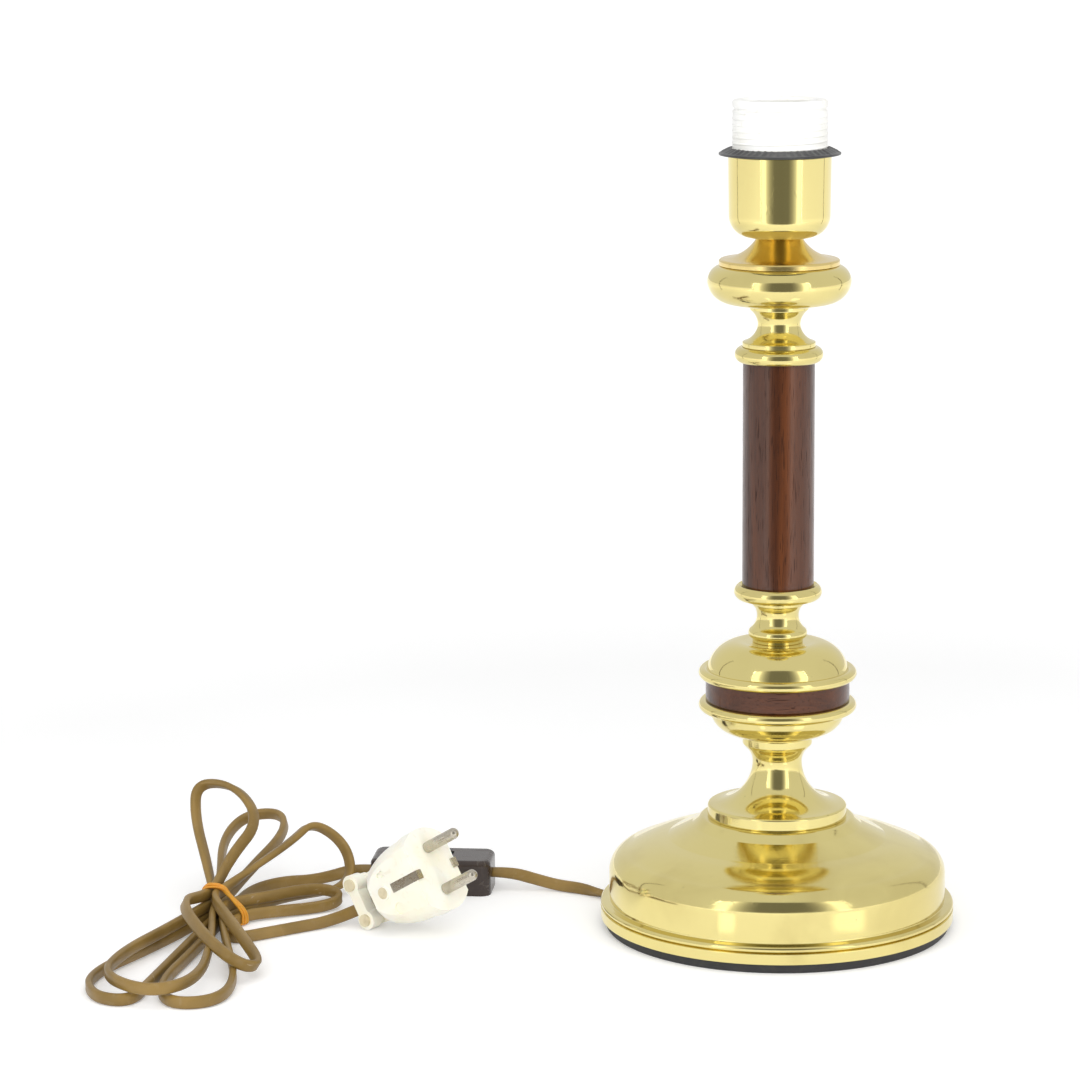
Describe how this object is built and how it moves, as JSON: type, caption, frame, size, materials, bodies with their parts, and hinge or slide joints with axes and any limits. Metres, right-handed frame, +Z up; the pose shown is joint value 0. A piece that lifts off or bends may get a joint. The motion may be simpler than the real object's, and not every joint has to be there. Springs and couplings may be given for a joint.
{
  "type": "table lamp",
  "caption": "Table lamp of turned brass and mahogany on a weighted round foot, with a bare screw lampholder and shade ring, flat cord, inline switch, tied hank and mains plug.",
  "frame": {"origin": "on the floor under the lamp's axis, at the centre of the round foot", "axes": "+Z up along the lamp's axis; the cord leaves towards -X, and the picture looks along +Y"},
  "size_m": [0.3599, 0.2037, 0.349],
  "materials": {
    "polished_brass": "polished, with fine scratches and some patina",
    "contact_brass": "plain",
    "nickel": "nickel-plated",
    "black_steel": "matt black paint",
    "iron": "as cast",
    "zinc_steel": "zinc-plated",
    "grey_metal": "dull grey",
    "mahogany": "stained and lacquered",
    "white_plastic": "smooth",
    "porcelain": "glazed porcelain",
    "black_plastic": "moulded, satin",
    "grommet_plastic": "moulded",
    "cord_plastic": "flexible, bronze to golden brown",
    "tie_rubber": "soft orange-yellow band",
    "brown_plastic": "moulded, dark brown",
    "rocker_plastic": "moulded, near black",
    "cream_plastic": "moulded, cream white",
    "wire_brown": "flexible",
    "wire_blue": "flexible"
  },
  "bodies": {
    "lamp": {"base_shell": "polished_brass", "foot_spool": "polished_brass", "lower_bowl": "polished_brass", "upper_dome": "polished_brass", "lower_neck": "polished_brass", "lower_collar": "polished_brass", "upper_collar": "polished_brass", "upper_neck": "polished_brass", "knob": "polished_brass", "cone_cap": "polished_brass", "holder_cup": "polished_brass", "terminal_block_a": "contact_brass", "terminal_block_b": "contact_brass", "switch_strip_a": "contact_brass", "switch_strip_b": "contact_brass", "screw_shell": "nickel", "plug_pin_a": "nickel", "plug_pin_b": "nickel", "base_plate": "black_steel", "base_weight": "iron", "threaded_tube": "zinc_steel", "bottom_nut": "zinc_steel", "cup_nut": "zinc_steel", "bottom_washer": "zinc_steel", "terminal_screw_a": "zinc_steel", "terminal_screw_b": "zinc_steel", "case_screw_a": "zinc_steel", "case_screw_b": "zinc_steel", "plug_screw": "zinc_steel", "clamp_screw_a": "zinc_steel", "clamp_screw_b": "zinc_steel", "earth_strip_a": "grey_metal", "earth_strip_b": "grey_metal", "wood_ring": "mahogany", "wood_column": "mahogany", "holder_sleeve": "white_plastic", "holder_base": "white_plastic", "holder_core": "porcelain", "cord_grommet": "grommet_plastic", "inner_lead": "cord_plastic", "lamp_lead": "cord_plastic", "switch_lead": "cord_plastic", "hank": "cord_plastic", "plug_lead": "cord_plastic", "hank_tie": "tie_rubber", "switch_base": "brown_plastic", "switch_cover": "brown_plastic", "plug_near": "cream_plastic", "plug_far": "cream_plastic", "cord_clamp": "cream_plastic", "plug_wire_a": "wire_brown", "plug_wire_b": "wire_blue"},
    "ring": {"shade_ring": "black_plastic"},
    "contact": {"centre_contact": "contact_brass"},
    "rocker": {"switch_rocker": "rocker_plastic"}
  },
  "joints": [
    {"name": "shade_ring_turn", "type": "hinge", "parent": "lamp", "child": "ring", "pos_m": [0, 0, 0.3285], "axis": [0, 0, 1], "continuous": true},
    {"name": "contact_press", "type": "slide", "parent": "lamp", "child": "contact", "axis": [0, 0, 1], "range_m": [-0.0015, 0], "stiffness_N_per_m": 2500},
    {"name": "rocker_tilt", "type": "hinge", "parent": "lamp", "child": "rocker", "pos_m": [-0.1475, 0.0575, 0.0132], "axis": [0.1045, 0.9945, 0], "range_deg": [0, 18]}
  ]
}
